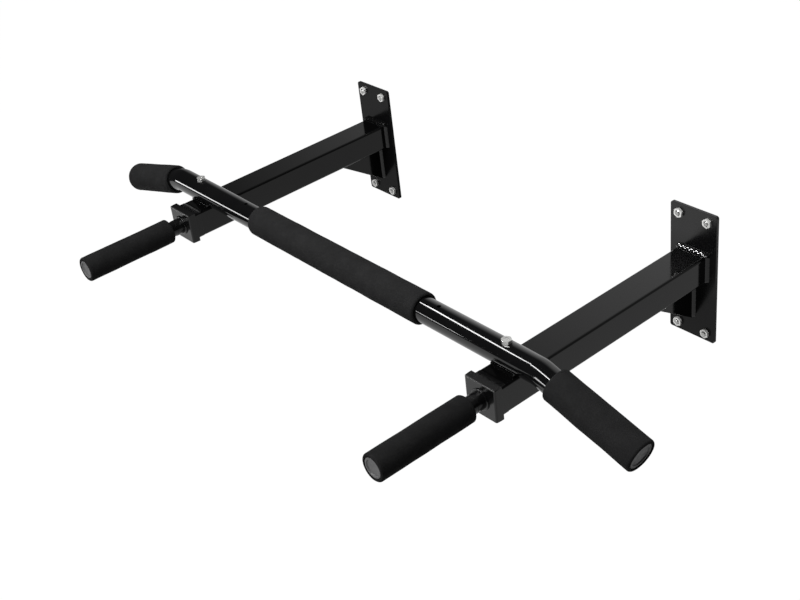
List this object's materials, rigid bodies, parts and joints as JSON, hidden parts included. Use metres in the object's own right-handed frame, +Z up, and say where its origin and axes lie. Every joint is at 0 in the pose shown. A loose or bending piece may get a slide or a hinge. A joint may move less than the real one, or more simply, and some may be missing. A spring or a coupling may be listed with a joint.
{
  "type": "pull up bar",
  "caption": "Wall-mounted pull up bar: two bolted plates with gusseted box arms carry a round bar with bent-down ends, foam grips and forward hammer handles.",
  "frame": {"origin": "point in the wall plane midway between the two wall plates, at the height of the arms' centre line", "axes": "+X along the bar to the object's right as seen from the wall-facing user, +Y into the wall, +Z up"},
  "size_m": [1.1462, 0.6, 0.21],
  "materials": {
    "bar_gloss": "gloss",
    "steel_gloss": "gloss",
    "weld_bead": "gloss",
    "collar_satin": "satin",
    "foam": "matte",
    "plug": "matte",
    "zinc": "bright zinc plate"
  },
  "bodies": {
    "root": {"bar_tube": "bar_gloss", "centre_foam": "foam", "wall_plate_left": "steel_gloss", "wall_stud_left_1": "zinc", "wall_nut_left_1": "zinc", "wall_stud_left_2": "zinc", "wall_nut_left_2": "zinc", "wall_stud_left_3": "zinc", "wall_nut_left_3": "zinc", "wall_stud_left_4": "zinc", "wall_nut_left_4": "zinc", "arm_left": "steel_gloss", "arm_weld_left": "weld_bead", "gusset_left": "steel_gloss", "gusset_weld_left_a": "weld_bead", "gusset_weld_left_b": "weld_bead", "saddle_left": "steel_gloss", "collar_left": "collar_satin", "hammer_ring_left": "steel_gloss", "hammer_tube_left": "steel_gloss", "hammer_foam_left": "foam", "hammer_plug_left": "plug", "end_foam_left": "foam", "end_plug_left": "plug", "bar_bolt_left": "zinc", "bar_washer_left": "zinc", "bar_nut_left": "zinc", "wall_plate_right": "steel_gloss", "wall_stud_right_1": "zinc", "wall_nut_right_1": "zinc", "wall_stud_right_2": "zinc", "wall_nut_right_2": "zinc", "wall_stud_right_3": "zinc", "wall_nut_right_3": "zinc", "wall_stud_right_4": "zinc", "wall_nut_right_4": "zinc", "arm_right": "steel_gloss", "arm_weld_right": "weld_bead", "gusset_right": "steel_gloss", "gusset_weld_right_a": "weld_bead", "gusset_weld_right_b": "weld_bead", "saddle_right": "steel_gloss", "collar_right": "collar_satin", "hammer_ring_right": "steel_gloss", "hammer_tube_right": "steel_gloss", "hammer_foam_right": "foam", "hammer_plug_right": "plug", "end_foam_right": "foam", "end_plug_right": "plug", "bar_bolt_right": "zinc", "bar_washer_right": "zinc", "bar_nut_right": "zinc"}
  },
  "joints": []
}
